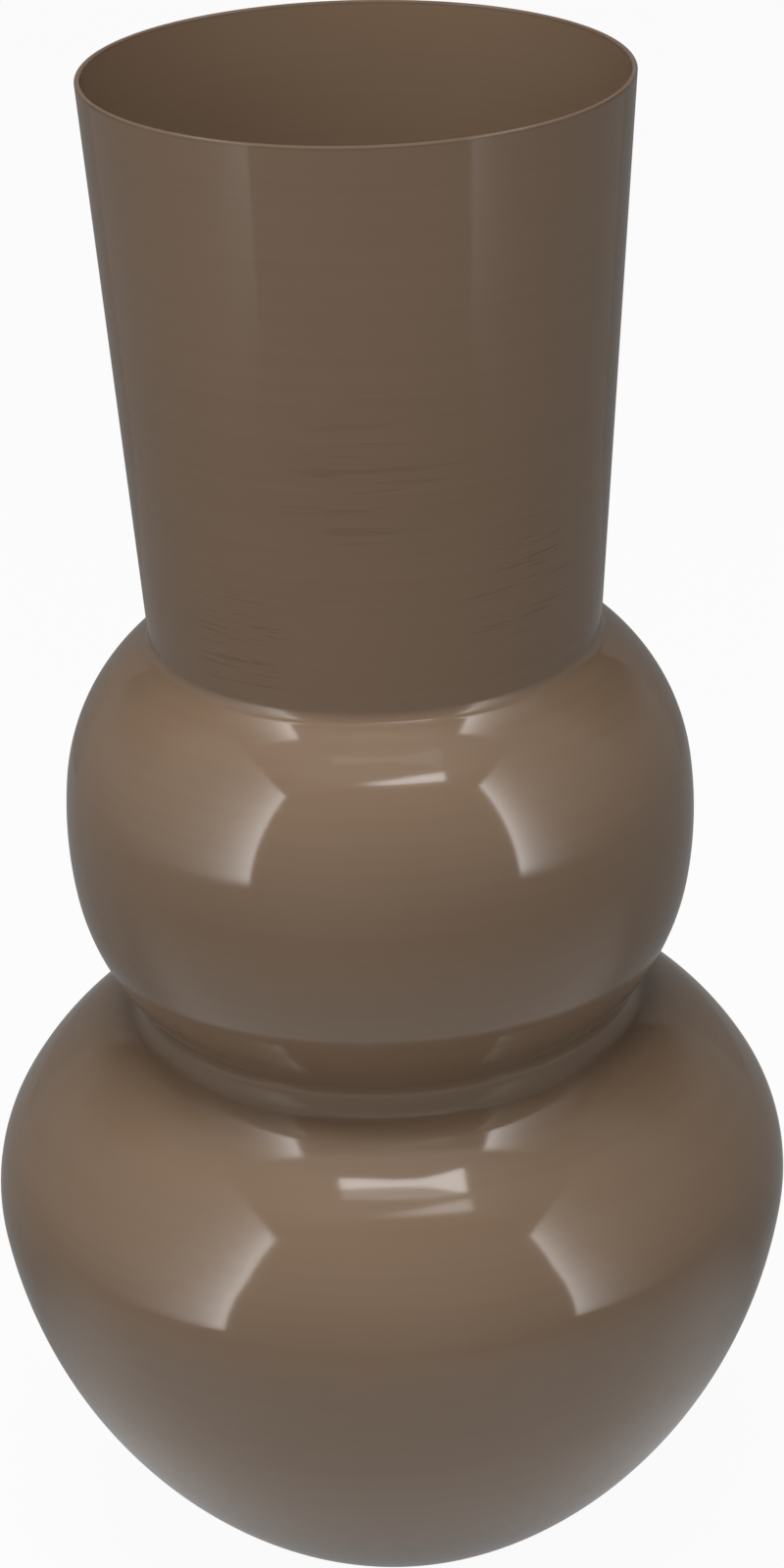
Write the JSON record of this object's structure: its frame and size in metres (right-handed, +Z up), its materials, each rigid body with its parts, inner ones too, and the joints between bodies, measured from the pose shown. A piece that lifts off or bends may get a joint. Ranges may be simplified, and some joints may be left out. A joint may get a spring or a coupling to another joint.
{
  "type": "double gourd vase",
  "caption": "Double gourd vase of glossy lacquered sheet metal: a tapered open neck on a round upper bulb and a larger lower bulb with a flat bottom.",
  "frame": {"origin": "on the vase's axis, in the plane of the felt pads' undersides, which is the surface it stands on", "axes": "+Z up along the vase's axis of revolution; X and Y run between the felt pads, 45 degrees from each"},
  "size_m": [0.1976, 0.1976, 0.3798],
  "materials": {
    "lacquer": "glossy taupe-brown lacquer over spun sheet steel",
    "solder": "dull grey soft solder",
    "felt": "dark brown pressed felt"
  },
  "bodies": {
    "root": {"neck": "lacquer", "upper_bulb_shoulder": "lacquer", "upper_bulb_underside": "lacquer", "waist_braze": "lacquer", "lower_bulb_shoulder": "lacquer", "lower_bulb_bowl": "lacquer", "neck_seam_solder": "solder", "upper_seam_solder": "solder", "lower_seam_solder": "solder", "felt_pads": "felt"}
  },
  "joints": []
}
